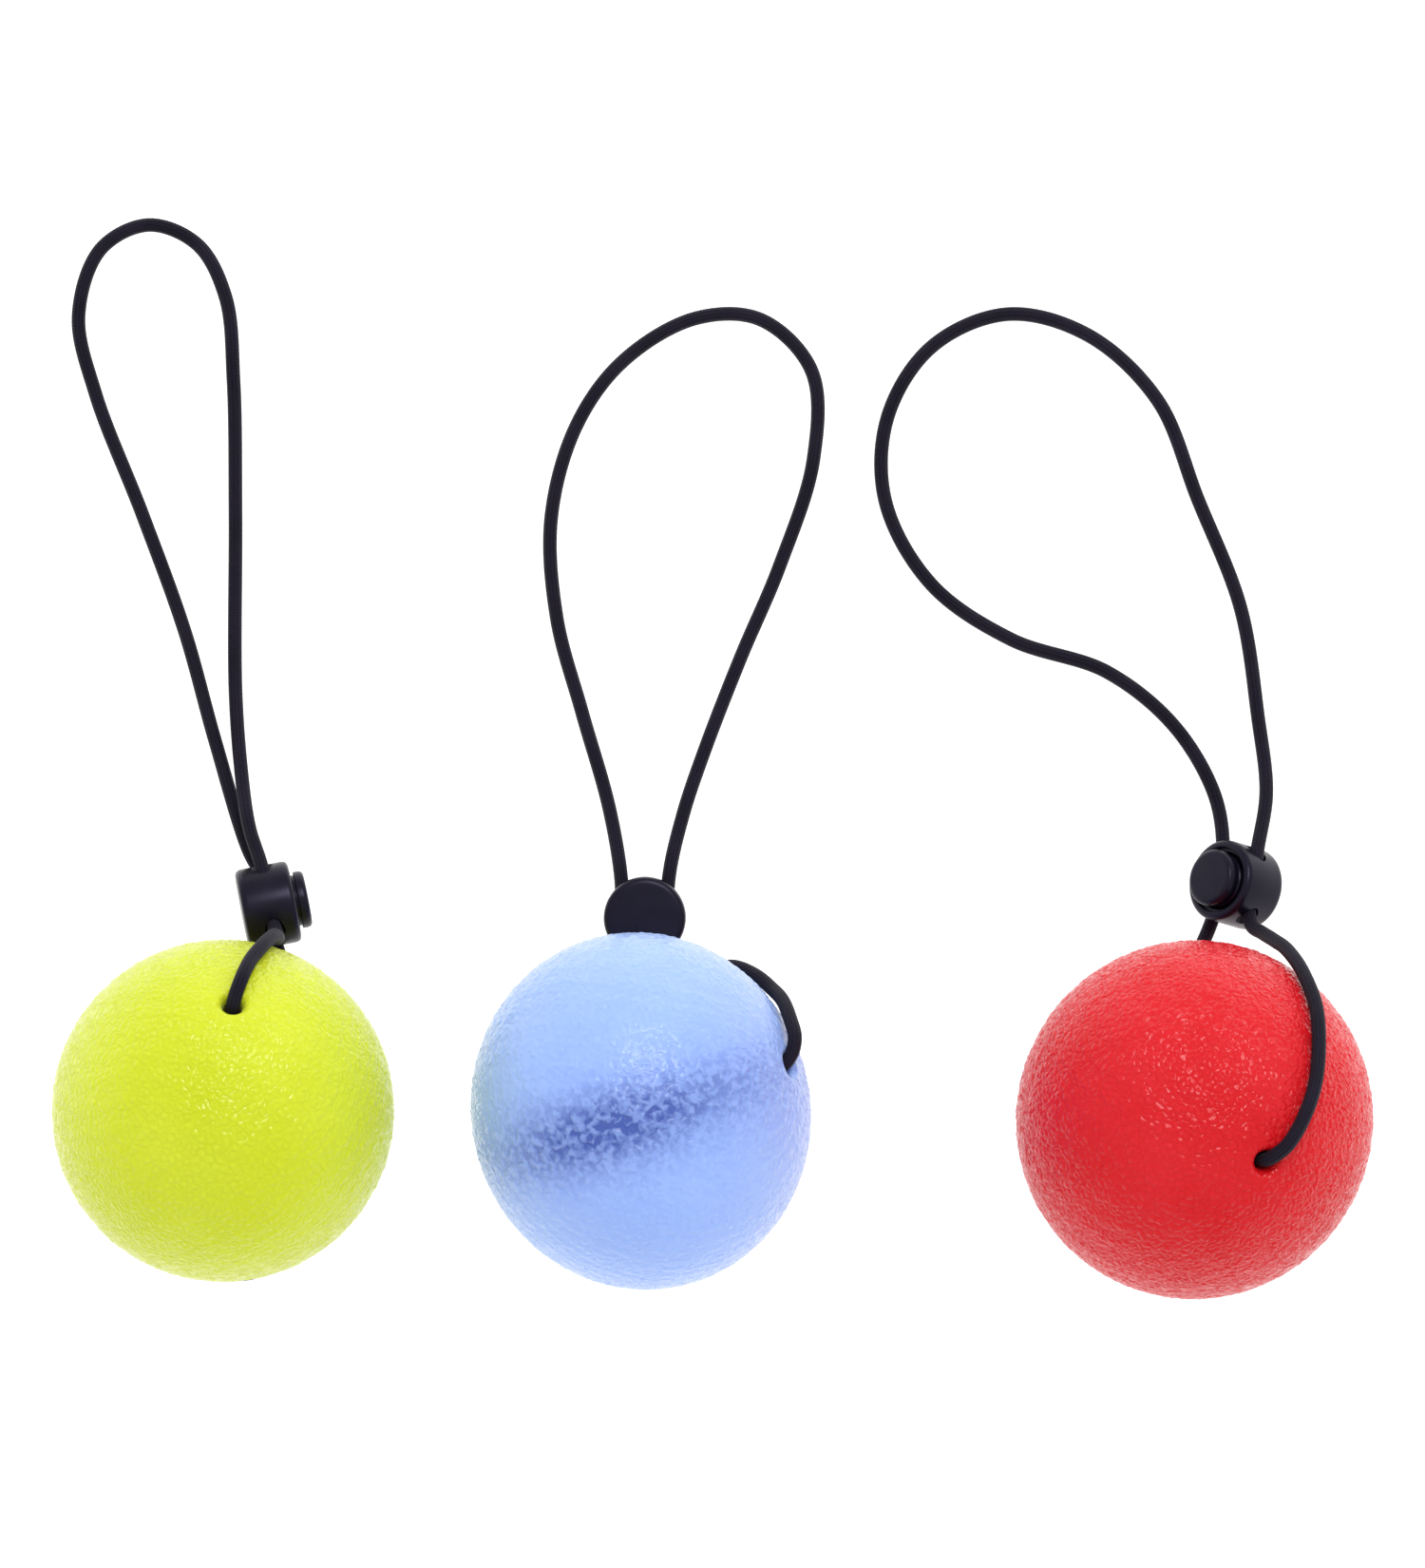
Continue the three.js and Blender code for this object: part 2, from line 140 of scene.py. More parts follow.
def cord_line(points, spacing):
    """Evenly spaced places along the smooth curve that a limp cord takes through its points."""
    points = np.array(points, float)
    before, after = 2 * points[0] - points[1], 2 * points[-1] - points[-2]
    ends = np.vstack([before, points, after])
    share = np.linspace(0, 1, PLACES_BETWEEN_POINTS, endpoint=False)[:, None]
    line = []
    for p0, p1, p2, p3 in zip(ends, ends[1:], ends[2:], ends[3:]):
        d0, d1, d2 = (
            np.sqrt(np.linalg.norm(b - a)) for a, b in ((p0, p1), (p1, p2), (p2, p3))
        )
        leave = ((p1 - p0) / d0 - (p2 - p0) / (d0 + d1) + (p2 - p1) / d1) * d1
        arrive = ((p2 - p1) / d1 - (p3 - p1) / (d1 + d2) + (p3 - p2) / d2) * d1
        bend = -3 * p1 + 3 * p2 - 2 * leave - arrive
        twist = 2 * p1 - 2 * p2 + leave + arrive
        line.append(p1 + leave * share + bend * share**2 + twist * share**3)
    line = np.vstack([*line, points[-1:]])
    run = np.r_[0, np.cumsum(np.linalg.norm(np.diff(line, axis=0), axis=1))]
    even = np.linspace(0, run[-1], int(round(run[-1] / spacing)) + 1)
    places = np.stack([np.interp(even, run, line[:, axis]) for axis in range(3)], axis=1)
    return places, run[-1]


def mesh_from(name, points, faces):
    mesh = bpy.data.meshes.new(name)
    mesh.from_pydata([tuple(p) for p in points], [], faces)
    mesh.validate()
    piece = bpy.data.objects.new(name, mesh)
    bpy.context.scene.collection.objects.link(piece)
    return piece


def tube(name, line, radii, sides):
    """A closed round length of cord or wire along a line.

    Its UV map gives the share of the way round and the run in metres."""
    steps = np.gradient(line, axis=0)
    tangents = steps / np.linalg.norm(steps, axis=1)[:, None]
    side = np.cross(tangents[0], (0.3, 0.5, 0.81))
    sideways = []
    for tangent in tangents:
        side = side - tangent * (side @ tangent)
        side = side / np.linalg.norm(side)
        sideways.append(side)
    sideways = np.array(sideways)
    upright = np.cross(tangents, sideways)
    angles = 2 * math.pi * np.arange(sides) / sides
    cosines, sines = np.cos(angles)[None, :, None], np.sin(angles)[None, :, None]
    rings = line[:, None] + np.asarray(radii)[:, None, None] * (
        sideways[:, None] * cosines + upright[:, None] * sines
    )
    count = len(line)
    faces = []
    for i in range(count - 1):
        a, b = i * sides, (i + 1) * sides
        for j in range(sides):
            k = (j + 1) % sides
            faces.append((a + j, a + k, b + k, b + j))
    faces.append(tuple(reversed(range(sides))))
    faces.append(tuple(range((count - 1) * sides, count * sides)))
    piece = mesh_from(name, rings.reshape(-1, 3), faces)
    run = np.r_[0, np.cumsum(np.linalg.norm(np.diff(line, axis=0), axis=1))]
    uv = piece.data.uv_layers.new(name="run")
    values = np.zeros((len(piece.data.loops), 2), np.float32)
    for i in range(count - 1):
        for j in range(sides):
            corner = 4 * (i * sides + j)
            values[corner:corner + 4, 0] = np.array((j, j + 1, j + 1, j)) / sides
            values[corner:corner + 4, 1] = (run[i], run[i], run[i + 1], run[i + 1])
    uv.data.foreach_set("uv", values.ravel())
    piece.data.polygons.foreach_set("use_smooth", [True] * len(piece.data.polygons))
    return piece


def add_node(material, kind, inputs=None, **settings):
    """A node with its settings, and its inputs set to values or joined to other nodes."""
    node = material.node_tree.nodes.new(kind)
    for key, value in settings.items():
        setattr(node, key, value)
    for key, value in (inputs or {}).items():
        if isinstance(value, bpy.types.NodeSocket):
            material.node_tree.links.new(value, node.inputs[key])
        else:
            node.inputs[key].default_value = value
    return node


def calculate(material, operation, *values):
    inputs = dict(enumerate(values))
    return add_node(material, "ShaderNodeMath", inputs, operation=operation).outputs[0]


def noise(material, place, scale, detail, **more):
    """Fine unevenness from 0 to 1, with scale in waves to the metre."""
    inputs = {"Vector": place, "Scale": scale, "Detail": detail, **more}
    return add_node(material, "ShaderNodeTexNoise", inputs).outputs[0]


def relief_normal(material, height, strength, distance):
    inputs = {"Height": height, "Strength": strength, "Distance": distance}
    return add_node(material, "ShaderNodeBump", inputs).outputs[0]


def ramp(material, share, low, high):
    """A colour between two others, by a share from 0 to 1."""
    mix = add_node(
        material, "ShaderNodeMix", {"Factor": share}, data_type="RGBA", clamp_factor=True
    )
    for key, colour in (("A", low), ("B", high)):
        socket = [s for s in mix.inputs if s.name == key and s.type == "RGBA"][0]
        if isinstance(colour, bpy.types.NodeSocket):
            material.node_tree.links.new(colour, socket)
        else:
            socket.default_value = (*colour, 1)
    return [s for s in mix.outputs if s.type == "RGBA"][0]


def finish_material(name, inputs):
    """A new material with one principled shader, whose sockets inputs(material) gives."""
    material = bpy.data.materials.new(name)
    material.use_nodes = True
    material.node_tree.nodes.clear()
    shader = add_node(material, "ShaderNodeBsdfPrincipled", inputs(material))
    output = add_node(material, "ShaderNodeOutputMaterial")
    material.node_tree.links.new(shader.outputs[0], output.inputs["Surface"])
    return material


def woven_elastic(material):
    run = add_node(material, "ShaderNodeUVMap", uv_map="run").outputs[0]
    parts = add_node(material, "ShaderNodeSeparateXYZ", {0: run})
    yarns = calculate(material, "MULTIPLY", parts.outputs["X"], 2 * math.pi * YARNS_ROUND)
    ribs = calculate(material, "MULTIPLY", parts.outputs["Y"], 2 * math.pi / RIB_PITCH)
    left = calculate(material, "SINE", calculate(material, "ADD", ribs, yarns))
    right = calculate(material, "SINE", calculate(material, "SUBTRACT", ribs, yarns))
    crossing = calculate(material, "MULTIPLY", left, right)
    place = add_node(material, "ShaderNodeTexCoord").outputs["Object"]
    fuzz = noise(material, place, 4000, 3)
    worn = noise(material, place, 120, 2)
    height = calculate(material, "ADD", calculate(material, "MULTIPLY", crossing, 0.5), fuzz)
    wear = calculate(material, "MULTIPLY", worn, 0.9)
    # Painted shade: the raised yarn crossings are painted lighter and the gaps between them darker,
    # on top of random wear.
    weave_shade_and_wear = calculate(material, "MULTIPLY_ADD", crossing, 0.35, wear)
    return {
        "Base Color": ramp(material, weave_shade_and_wear, (0.0005, 0.0005, 0.002), (0.018, 0.015, 0.028)),
        "Roughness": 0.6,
        "Specular IOR Level": 0.18,
        "Specular Tint": (0.75, 0.70, 1.0, 1),
        "Sheen Weight": 0.03,
        "Sheen Roughness": 0.4,
        "Normal": relief_normal(material, height, 0.9, 0.1 * MM),
    }


elastic_finish = finish_material("woven_elastic", woven_elastic)
for unit, route in CORD_ROUTES.items():
    line, length = cord_line(route, RIB_PITCH / 2)
    radii = CORD_RADIUS + RIB_HEIGHT * (np.arange(len(line)) % 2 - 0.5)
    cord = tube(f"{unit}_elastic", line, radii, CORD_SIDES)
    cord.data.materials.append(elastic_finish)
    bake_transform(cord)
    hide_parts(f"{unit}_cord")


# ---------------------------------------------------------------- gel balls
# Solid balls of soft translucent rubber gel, cast in one piece round a straight hole for the cord.
# The mould gives them a fine pebbled skin, and the gel pulls in a little round each of the hole's
# mouths.

# Sizes are in mm. Each ball's bore is the way its hole points, its girth the radius across the hole
# and its polar the radius along it. The shadow is a painted shadow of the hole: a darker band
# painted into the gel's colour along the hole, in the painted shadow colour.
# Deep and light are the gel's colours in its grooves and on its pebbles: painted shade in the
# grooves, painted light on the pebbles.
BALLS = {
    "yellow": {
        "centre": (-71.7, -6.0, 24.6),
        "bore": (0.1, 0.65, 0.75),
        "girth": 25.0,
        "polar": 25.0,
        "seed": 11,
        "deep": (0.60, 0.68, 0.006),
        "light": (0.73, 0.81, 0.050),
        "groove_shade": 0.14,
        "painted_shadow_colour": (0.45, 0.56, 0.01),
        "shadow": 0.10,
        "shadow_width": 5.0,
        "roughness": 0.17,
        "gloss": 0.33,
        "bloom": 0.1,
        "bite": 0.8,
        "wormy": False,
        "wrinkling": 0.0,
    },
    "blue": {
        "centre": (-10.6, -6.0, 25.6),
        "bore": (0.888, 0.29, 0.355),
        "girth": 26.2,
        "polar": 24.5,
        "seed": 23,
        "deep": (0.32, 0.475, 0.97),
        "light": (0.42, 0.585, 1.0),
        "groove_shade": 0.12,
        "painted_shadow_colour": (0.07, 0.12, 0.44),
        "shadow": 1.2,
        "shadow_width": 5.8,
        "roughness": 0.19,
        "gloss": 0.33,
        "bloom": 0.1,
        "bite": 0.6,
        "wormy": True,
        "wrinkling": 2.5,
    },
    "red": {
        "centre": (70.3, -7.3, 24.8),
        "bore": (0.36, -0.21, 0.91),
        "girth": 26.3,
        "polar": 25.0,
        "seed": 37,
        "deep": (0.64, 0.004, 0.008),
        "light": (0.78, 0.028, 0.042),
        "groove_shade": 0.16,
        "painted_shadow_colour": (0.5, 0.004, 0.01),
        "shadow": 0.10,
        "shadow_width": 5.0,
        "roughness": 0.15,
        "gloss": 0.24,
        "bloom": 0.0,
        "bite": 0.9,
        "wormy": False,
        "wrinkling": 0.0,
    },
}
BALL_SEGMENTS = 540
BALL_RINGS = 290

# The hole's rounded mouth as (radius, depth) pairs, ending deep inside the ball, and the band of
# smooth gel round it in which the pebbles fade in.
MOUTH = [
    (2.5, 0.0), (2.15, 0.1), (1.8, 0.4), (1.52, 0.9), (1.38, 1.7), (1.35, 3.0), (1.35, 14.0),
]
SMOOTH_RADIUS = 2.6
FADE_WIDTH = 2.5

# The painted shadow band's length along the hole, and where along it the band is darkest.
SHADOW_LENGTH = 19.0
SHADOW_START = -0.26
PEBBLE_COUNT = 6600
PEBBLE_HEIGHT = 0.13
SKIN_WAVE = 0.05


def pebbles(directions, seed):
    """The height of the skin at places on a unit ball, from 0 in the grooves to 1 on pebbles."""
    random = np.random.default_rng(seed)
    index = np.arange(PEBBLE_COUNT) + 0.5
    tilt, turn = np.arccos(1 - 2 * index / PEBBLE_COUNT), math.pi * (1 + 5**0.5) * index
    seeds = np.stack(
        [np.cos(turn) * np.sin(tilt), np.sin(turn) * np.sin(tilt), np.cos(tilt)], axis=1
    )
    spacing = math.sqrt(4 * math.pi / PEBBLE_COUNT)
    seeds += random.normal(0, 0.30 * spacing, seeds.shape)
    seeds /= np.linalg.norm(seeds, axis=1)[:, None]
    sizes = random.uniform(0.65, 1.0, PEBBLE_COUNT)
    tree = kdtree.KDTree(PEBBLE_COUNT)
    for i, place in enumerate(seeds):
        tree.insert(place, i)
    tree.balance()
    height = np.empty(len(directions))
    for i, place in enumerate(directions):
        (_, first, near), (_, _, next_near) = tree.find_n(place, 2)
        gap = min(1.0, (next_near - near) / (0.75 * spacing))
        height[i] = sizes[first] * gap * gap * (3 - 2 * gap)
    return height


def ball_section(girth, polar):
    """The ball's section: out of its hole at the lower mouth, round, and in at the upper."""
    widest = MOUTH[0][0]
    last = math.acos(widest / girth)
    half = [
        (girth * math.cos(angle), polar * math.sin(angle))
        for angle in np.linspace(0, last, BALL_RINGS // 2)
    ]
    top = polar * math.sin(last)
    half += [(radius, top - depth) for radius, depth in MOUTH[1:]]
    return [(radius, -height) for radius, height in reversed(half[1:])] + half


def ball_mesh(unit, ball):
    section = np.array(ball_section(ball["girth"], ball["polar"])) * MM
    angles = 2 * math.pi * np.arange(BALL_SEGMENTS) / BALL_SEGMENTS
    radius = section[:, 0][:, None]
    height = np.repeat(section[:, 1][:, None], len(angles), axis=1)
    local = np.stack([radius * np.cos(angles), radius * np.sin(angles), height], axis=2)
    local = local.reshape(-1, 3)
    turn = np.array(Vector((0, 0, 1)).rotation_difference(Vector(ball["bore"])).to_matrix())
    outward = local / np.linalg.norm(local, axis=1)[:, None]
    relief = pebbles(outward, ball["seed"])
    waves = np.sin(outward @ np.array((31, 17, -22)) + ball["seed"])
    waves = waves * np.sin(outward @ np.array((-19, 27, 33)))
    from_hole = np.hypot(local[:, 0], local[:, 1]) / MM
    mouth = np.clip((from_hole - SMOOTH_RADIUS) / FADE_WIDTH, 0, 1)
    raised = (PEBBLE_HEIGHT * (relief - 0.6) + SKIN_WAVE * waves) * mouth * MM
    placed = (local + outward * raised[:, None]) @ turn.T + np.array(ball["centre"]) * MM
    placed[:, 2] = np.maximum(placed[:, 2], 0)  # the flat patch that it rests on
    count = len(section)
    faces = []
    for i in range(count):
        a, b = i * BALL_SEGMENTS, (i + 1) % count * BALL_SEGMENTS
        for j in range(BALL_SEGMENTS):
            k = (j + 1) % BALL_SEGMENTS
            faces.append((a + j, a + k, b + k, b + j))
    piece = mesh_from(f"{unit}_gel_ball", placed, faces)
    piece.data.polygons.foreach_set("use_smooth", [True] * len(piece.data.polygons))
    skin = piece.data.attributes.new("skin", "FLOAT", "POINT")
    skin.data.foreach_set("value", (relief * mouth).astype(np.float32))
    return piece


def skin_grooves(material, place, wormy):
    """0 in the grooves of the finest skin and 1 between them: wandering lines, or small cells."""
    if wormy:
        swirl = noise(material, place, 900, 1.0, Distortion=0.4)
        reach = {"Value": swirl, "From Min": 0.36, "From Max": 0.64}
    else:
        cells = {"Vector": place, "Scale": 950, "Randomness": 1.0}
        edge = add_node(
            material, "ShaderNodeTexVoronoi", cells, feature="DISTANCE_TO_EDGE"
        ).outputs[0]
        reach = {"Value": edge, "From Min": 0.0, "From Max": 0.3}
    return add_node(material, "ShaderNodeMapRange", reach).outputs[0]


def hole_nearness(material, place, ball):
    """Painted shadow and wrinkle mask: 1 where the hole lies under the skin, less to its sides and
    ends.
    """
    centre, bore = Vector(ball["centre"]) * MM, Vector(ball["bore"]).normalized()
    aside = bore.cross(Vector((0, 0, 1))).normalized()
    offset = add_node(
        material, "ShaderNodeVectorMath", {0: place, 1: tuple(centre)}, operation="SUBTRACT"
    ).outputs[0]
    sideways, lengthways = (
        add_node(
            material, "ShaderNodeVectorMath", {0: offset, 1: tuple(way)}, operation="DOT_PRODUCT"
        ).outputs["Value"]
        for way in (aside, bore)
    )
    far = calculate(material, "MULTIPLY", sideways, 1 / (ball["shadow_width"] * MM))
    along = calculate(
        material, "MULTIPLY_ADD", lengthways, 1 / (SHADOW_LENGTH * MM), SHADOW_START
    )
    square = calculate(material, "MULTIPLY", along, along)
    spread = calculate(material, "MULTIPLY_ADD", far, far, square)
    return calculate(material, "EXPONENT", calculate(material, "MULTIPLY", spread, -1.0))


def gel(ball):
    """Clear rubber gel, tinted right through, with painted shade in its grooves and a painted
    shadow band over the hole.
    """

    def inputs(material):
        place = add_node(material, "ShaderNodeTexCoord").outputs["Object"]
        skin = add_node(material, "ShaderNodeAttribute", attribute_name="skin").outputs["Fac"]
        groove = skin_grooves(material, place, ball["wormy"])
        # Painted shade: the colour runs from deep in the grooves to light on the raised pebbles,
        # over random cloudy tone.
        relief = calculate(material, "MULTIPLY_ADD", skin, 0.6, groove)
        cloud = calculate(material, "MULTIPLY_ADD", noise(material, place, 60, 2), 0.9, -0.25)
        tone = calculate(material, "MULTIPLY_ADD", relief, ball["groove_shade"], cloud)
        colour = ramp(material, tone, ball["deep"], ball["light"])
        # Painted shadow: the colour is darkened over the hole, more in the grooves than on the
        # pebbles.
        nearness = hole_nearness(material, place, ball)
        depth = calculate(material, "MULTIPLY_ADD", groove, -0.55, 1.0)
        shadow = calculate(material, "MULTIPLY", nearness, depth)
        shadow = calculate(material, "MULTIPLY", shadow, ball["shadow"])
        wrinkling = calculate(material, "MULTIPLY_ADD", nearness, ball["wrinkling"], 1.0)
        wrinkle = calculate(material, "MULTIPLY", groove, wrinkling)
        return {
            "Base Color": ramp(material, shadow, colour, ball["painted_shadow_colour"]),
            "Roughness": ball["roughness"],
            "IOR": 1.46,
            "Specular IOR Level": ball["gloss"],
            "Subsurface Weight": 0.35,
            "Subsurface Radius": (1.0, 1.0, 1.0),
            "Subsurface Scale": 2.5 * MM,
            "Sheen Weight": ball["bloom"],
            "Sheen Roughness": 0.35,
            "Normal": relief_normal(material, wrinkle, ball["bite"], 0.12 * MM),
        }

    return inputs


for unit, ball in BALLS.items():
    piece = ball_mesh(unit, ball)
    piece.data.materials.append(finish_material(f"{unit}_gel", gel(ball)))
    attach(piece, f"{unit}_ball")
    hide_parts(f"{unit}_ball")


# ---------------------------------------------------------------- crimp sleeves
# A short tube of tinned brass, pressed on in two places round the cord's two ends where they meet
# in the middle of the ball's hole.

# Sizes are in mm.
SLEEVE_RADIUS = 1.85
SLEEVE_WALL = 0.4
SLEEVE_LENGTH = 9.0
CRIMP_DEPTH = 0.18
CRIMP_WIDTH = 0.7
CRIMPS_AT = (-2.2, 2.2)


def metal(colour, roughness):
    def inputs(material):
        place = add_node(material, "ShaderNodeTexCoord").outputs["Object"]
        drawn = noise(material, place, 2500, 2)
        return {
            "Base Color": ramp(material, drawn, tuple(0.8 * c for c in colour), colour),
            "Metallic": 1.0,
            "Roughness": calculate(material, "MULTIPLY_ADD", drawn, 0.2, roughness),
        }

    return inputs


def lathe(name, profile, segments):
    """A solid turned about local Z from (radius, height) pairs in mm.

    The first and last pair are both on the axis, or they join to close the section."""
    closed = profile[0][0] > 0
    count = len(profile)
    points, rings = [], []
    for radius, height in profile:
        if radius < 1e-6:
            rings.append([len(points)] * segments)
            points.append((0, 0, height * MM))
            continue
        rings.append(list(range(len(points), len(points) + segments)))
        for i in range(segments):
            angle = 2 * math.pi * i / segments
            x, y = radius * math.cos(angle), radius * math.sin(angle)
            points.append((x * MM, y * MM, height * MM))
    faces = []
    for i in range(count if closed else count - 1):
        low, high = rings[i], rings[(i + 1) % count]
        for j in range(segments):
            k = (j + 1) % segments
            face = tuple(dict.fromkeys((low[j], low[k], high[k], high[j])))
            if len(face) > 2:
                faces.append(face)
    return mesh_from(name, points, faces)


sleeve_finish = finish_material("tinned_sleeve", metal((0.62, 0.61, 0.58), 0.25))
for unit, ball in BALLS.items():
    half = SLEEVE_LENGTH / 2
    inner = SLEEVE_RADIUS - SLEEVE_WALL
    heights = np.linspace(-half, half, 31)
    outside = []
    for height in heights:
        crimp = sum(math.exp(-(((height - at) / CRIMP_WIDTH) ** 2)) for at in CRIMPS_AT)
        outside.append((SLEEVE_RADIUS - CRIMP_DEPTH * crimp, height))
    sleeve = lathe(f"{unit}_crimp_sleeve", [(inner, -half), *outside, (inner, half)], 32)
    turn = Vector((0, 0, 1)).rotation_difference(Vector(ball["bore"])).to_matrix().to_4x4()
    sleeve.data.transform(Matrix.Translation(Vector(ball["centre"]) * MM) @ turn)
    sleeve.data.shade_smooth()
    sleeve.data.set_sharp_from_angle(angle=math.radians(40))
    sleeve.data.materials.append(sleeve_finish)
    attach(sleeve, f"{unit}_strap")
    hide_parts(f"{unit}_cord_sleeve")


# ---------------------------------------------------------------- cord lock barrels
# Injection-moulded black acetal, closed at one end. Two cord holes run through the barrel side by
# side, and all its edges are rounded.

# Sizes are in mm. Press points from a barrel's closed end to its button, and strands from the loop
# to the ball.
LOCKS = {
    "yellow": {
        "centre": (-66.15, 23.65, 6.5),
        "press": (0.98, 0.19, -0.08),
        "strands": (0.205, -0.929, 0.308),
    },
    "blue": {
        "centre": (-10.2, 21.9, 6.1),
        "press": (0, 0, -1),
        "strands": (0, -1, 0),
    },
    "red": {
        "centre": (77.5, 26.8, 7.3),
        "press": (-0.71, 0.21, 0.67),
        "strands": (-0.15, -0.978, 0.146),
    },
}
BARREL_LENGTH = 8.0

# Sections of the lock's parts are (radius, height, corner radius), from the barrel's closed end.
BARREL_PROFILE = [
    (0, 0, 0), (6.1, 0, 1.1), (6.1, 8.0, 0.95), (4.9, 8.0, 0.2), (4.9, 7.2, 0.1),
    (4.35, 7.2, 0.1), (4.35, 0.7, 0.2), (0, 0.7, 0),
]
CORD_HOLE = [
    (0, -8), (1.9, -8), (1.65, -5.2), (1.45, -4.7), (1.45, 4.7), (1.65, 5.2), (1.9, 8), (0, 8),
]
CORD_HOLE_OFFSET = 3.5
CORD_HOLE_HEIGHT = 4.2
LOCK_SEGMENTS = 96
BORE_SEGMENTS = 40
CREASE_ANGLE = math.radians(32)


def rounded(profile, steps=7):
    """A profile of (radius, height, corner radius) with each corner turned into an arc."""
    points = [np.array(p[:2], float) for p in profile]
    result = []
    for i, (_, _, corner) in enumerate(profile):
        if corner == 0:
            result.append(tuple(points[i]))
            continue
        here, before, after = points[i], points[i - 1], points[(i + 1) % len(points)]
        arriving = (before - here) / np.linalg.norm(before - here)
        leaving = (after - here) / np.linalg.norm(after - here)
        for share in np.linspace(0, 1, steps):
            a = here + arriving * corner * (1 - share)
            b = here + leaving * corner * share
            result.append(tuple(a + (b - a) * share))
    return result


def lock_place(lock):
    """Local Z runs from the barrel's closed end to the button, and local X along the cord holes."""
    press = Vector(lock["press"]).normalized()
    away = -Vector(lock["strands"])
    away = (away - press * away.dot(press)).normalized()
    across = press.cross(away)
    turn = Matrix((away, across, press)).transposed().to_4x4()
    origin = (Vector(lock["centre"]) - press * (BARREL_LENGTH / 2)) * MM
    return Matrix.Translation(origin) @ turn


def cut_away(piece, cutters):
    """Takes the cutters out of the piece."""
    for cutter in cutters:
        cut = piece.modifiers.new("cut", "BOOLEAN")
        cut.operation, cut.solver, cut.object = "DIFFERENCE", "EXACT", cutter
    bpy.context.view_layer.update()
    finished = piece.evaluated_get(bpy.context.evaluated_depsgraph_get())
    shaped = bpy.data.meshes.new_from_object(finished)
    piece.modifiers.clear()
    piece.data = shaped
    for cutter in cutters:
        bpy.data.objects.remove(cutter)


def black_plastic(material):
    place = add_node(material, "ShaderNodeTexCoord").outputs["Object"]
    flow = noise(material, place, 300, 3)
    spark = noise(material, place, 5000, 2)
    return {
        "Base Color": ramp(material, flow, (0.003, 0.0025, 0.007), (0.007, 0.006, 0.013)),
        "Roughness": calculate(material, "MULTIPLY_ADD", flow, 0.16, 0.22),
        "Specular IOR Level": 0.24,
        "Specular Tint": (0.72, 0.68, 1.0, 1),
        "Normal": relief_normal(material, spark, 0.15, 0.03 * MM),
    }


plastic_finish = finish_material("black_acetal", black_plastic)
for unit, lock in LOCKS.items():
    barrel = lathe(f"{unit}_barrel", rounded(BARREL_PROFILE), LOCK_SEGMENTS)
    cutters = []
    for side in (-1, 1):
        hole = lathe("hole", CORD_HOLE, BORE_SEGMENTS)
        hole.data.transform(Matrix.Rotation(math.pi / 2, 4, "Y"))
        at = Vector((0, side * CORD_HOLE_OFFSET, CORD_HOLE_HEIGHT)) * MM
        hole.data.transform(Matrix.Translation(at))
        cutters.append(hole)
    cut_away(barrel, cutters)
    barrel.data.transform(lock_place(lock))
    barrel.data.shade_smooth()
    barrel.data.set_sharp_from_angle(angle=CREASE_ANGLE)
    barrel.data.materials.append(plastic_finish)
    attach(barrel, f"{unit}_lock")
    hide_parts(f"{unit}_lock_barrel")


# ---------------------------------------------------------------- cord lock plungers
# The same plastic in one piece: a stem with a notch on each side for a strand and a deep pocket for
# the spring, and a round button with a soft rim. The spring pushes its notches against the strands.

PLUNGER_PROFILE = [
    (0, 2.1, 0), (4.05, 2.1, 0.2), (4.05, 7.35, 0.1), (3.8, 7.65, 0.05),
    (3.8, 8.5, 0.05), (4.25, 8.5, 0.12), (4.25, 10.0, 0.85), (0, 9.95, 0),
]
NOTCH_INSIDE = 2.15
NOTCH_BOTTOM = 2.85
NOTCH_TOP = 6.75
POCKET = [(0, 1), (1.65, 1), (1.65, 7.15), (0, 7.15)]


def block(name, low, high):
    xs, ys, zs = zip(low, high)
    corners = [(x, y, z) for x in xs for y in ys for z in zs]
    faces = [(0, 1, 3, 2), (4, 6, 7, 5), (0, 4, 5, 1), (2, 3, 7, 6), (0, 2, 6, 4), (1, 5, 7, 3)]
    return mesh_from(name, np.array(corners) * MM, faces)


for unit, lock in LOCKS.items():
    plunger = lathe(f"{unit}_plunger", rounded(PLUNGER_PROFILE), LOCK_SEGMENTS)
    cutters = [
        block("notch", (-6, NOTCH_INSIDE, NOTCH_BOTTOM), (6, 6, NOTCH_TOP)),
        block("notch", (-6, -6, NOTCH_BOTTOM), (6, -NOTCH_INSIDE, NOTCH_TOP)),
        lathe("pocket", POCKET, BORE_SEGMENTS),
    ]
    cut_away(plunger, cutters)
    plunger.data.transform(lock_place(lock))
    plunger.data.shade_smooth()
    plunger.data.set_sharp_from_angle(angle=CREASE_ANGLE)
    plunger.data.materials.append(plastic_finish)
    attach(plunger, f"{unit}_button")
    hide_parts(f"{unit}_lock_plunger")


# ---------------------------------------------------------------- lock springs
# A coil of bright spring wire stands on the barrel's floor inside the plunger's pocket and pushes
# the button out. Its end coils are wound closer, so that it stands straight.

WIRE_RADIUS = 0.2
COIL_RADIUS = 1.2
SPRING_BOTTOM = 1.2
SPRING_TOP = 6.65
SPRING_TURNS = 6.5
STEPS_PER_TURN = 20
WIRE_SIDES = 10

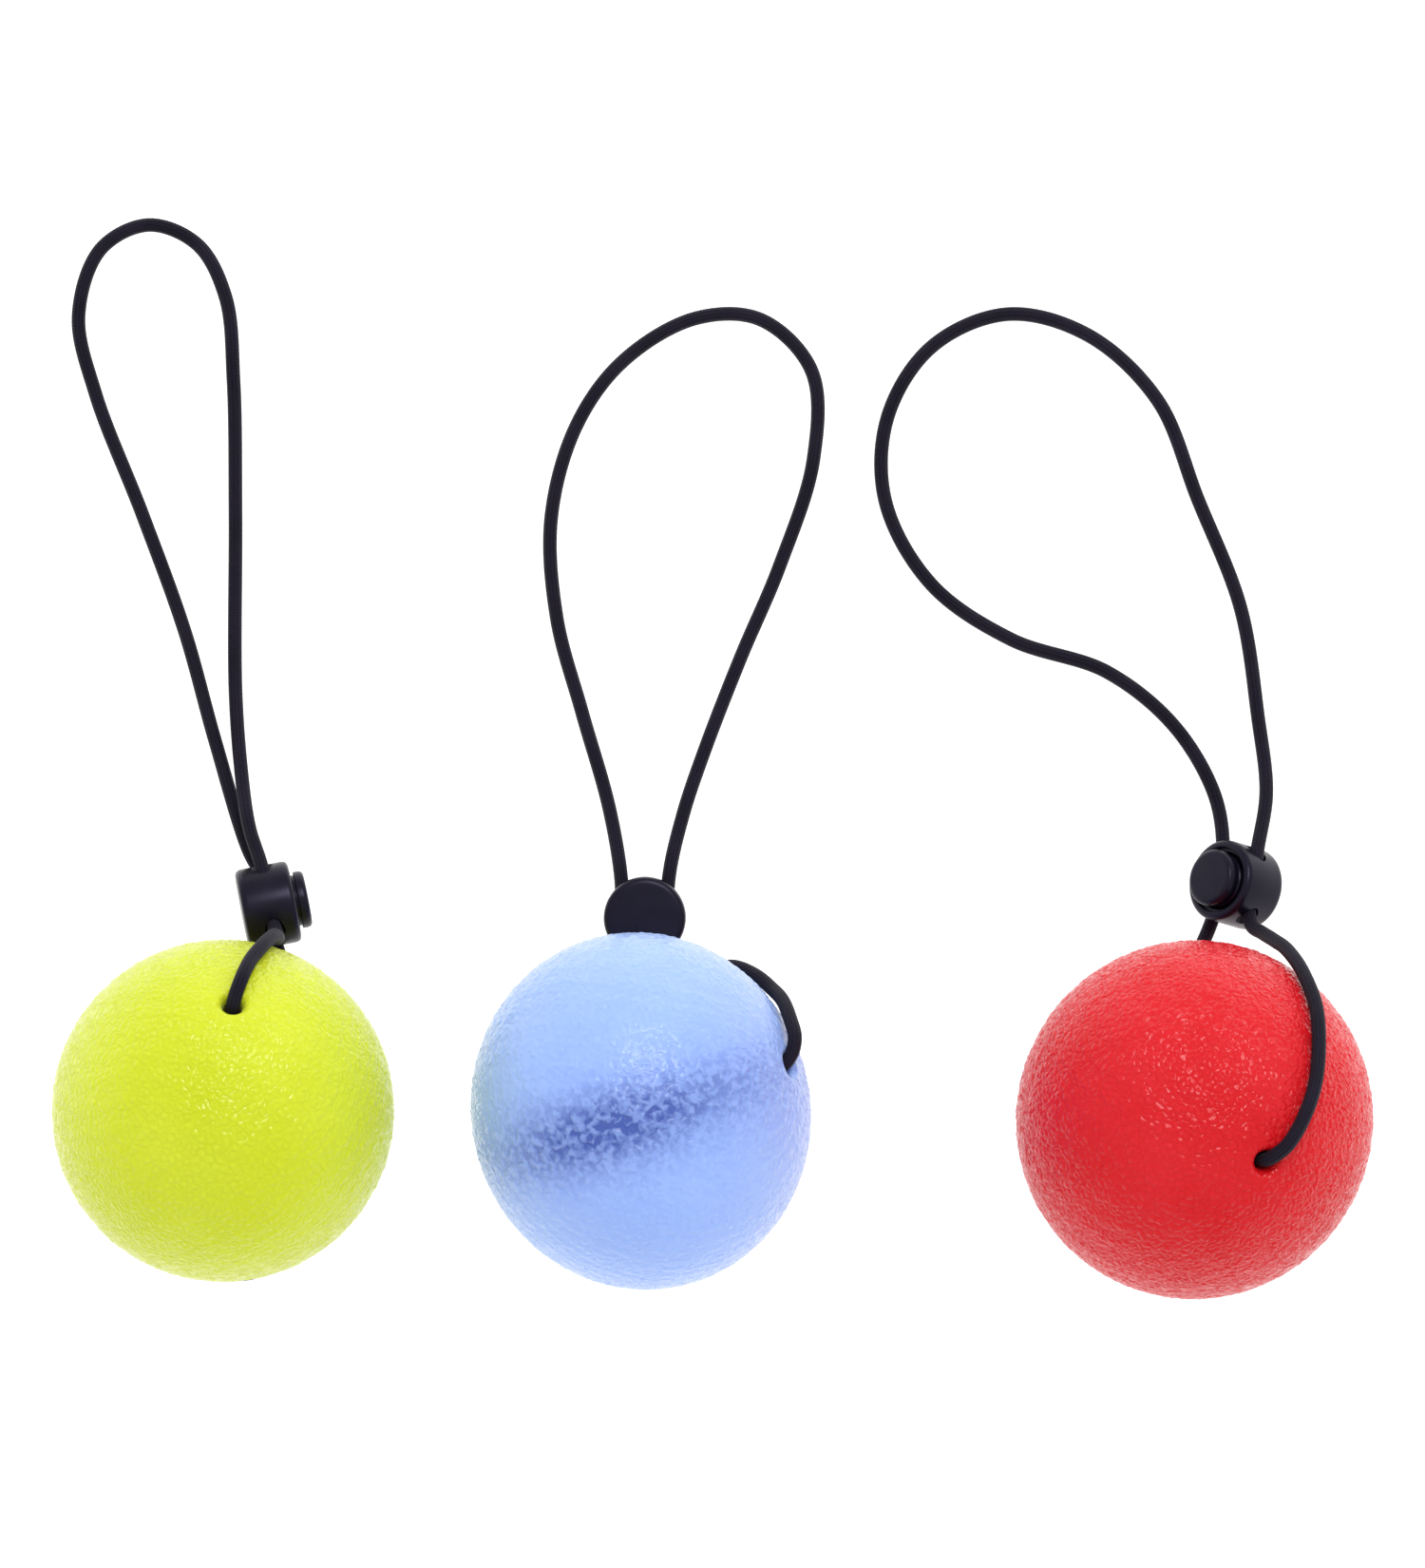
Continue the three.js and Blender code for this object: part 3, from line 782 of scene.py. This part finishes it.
spring_finish = finish_material("spring_wire", metal((0.78, 0.79, 0.81), 0.18))
for unit, lock in LOCKS.items():
    share = np.linspace(0, 1, int(SPRING_TURNS * STEPS_PER_TURN) + 1)
    once, twice = 2 * math.pi * share, 4 * math.pi * share
    rise = share - 0.6 * np.sin(twice) / (4 * math.pi) - 0.2 * np.sin(once) / (2 * math.pi)
    height = SPRING_BOTTOM + (SPRING_TOP - SPRING_BOTTOM) * rise
    angle = once * SPRING_TURNS
    coil = np.stack([COIL_RADIUS * np.cos(angle), COIL_RADIUS * np.sin(angle), height], axis=1)
    radii = np.full(len(coil), WIRE_RADIUS * MM)
    spring = tube(f"{unit}_spring", coil * MM, radii, WIRE_SIDES)
    place = lock_place(lock)
    spring.data.transform(place)
    spring.data.materials.append(spring_finish)
    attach(spring, f"{unit}_lock")
    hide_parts(f"{unit}_lock_spring")
    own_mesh(spring)


# ---------------------------------------------------------------- floor and lights
# A wide sheet of matt white, lit softly from all round, with one large softbox behind the loops.

FLOOR_HALF = 6.0
floor = mesh_from(
    "floor",
    [(x * FLOOR_HALF, y * FLOOR_HALF, 0) for x, y in ((-1, -1), (1, -1), (1, 1), (-1, 1))],
    [(0, 1, 2, 3)],
)
floor.data.materials.append(
    finish_material(
        "white_floor",
        lambda material: {
            "Base Color": (0.40, 0.40, 0.40, 1),
            "Roughness": 0.9,
            "Emission Color": (1, 1, 1, 1),
            "Emission Strength": 1.05,
        },
    )
)

world = bpy.data.worlds.new("studio")
world.use_nodes = True
world.node_tree.nodes["Background"].inputs["Color"].default_value = (1.0, 1.0, 1.0, 1)
world.node_tree.nodes["Background"].inputs["Strength"].default_value = 0.82
bpy.context.scene.world = world

SOFTBOX_AT = Vector((0.20, 0.62, 1.0))
LIT_PLACE = Vector((0, 0, 0.02))
light = bpy.data.lights.new("back_softbox", "AREA")
light.shape, light.size, light.energy = "SQUARE", 0.45, 5.5
lamp = bpy.data.objects.new("back_softbox", light)
lamp.location = SOFTBOX_AT
lamp.rotation_euler = (LIT_PLACE - SOFTBOX_AT).to_track_quat("-Z", "Y").to_euler()
bpy.context.scene.collection.objects.link(lamp)
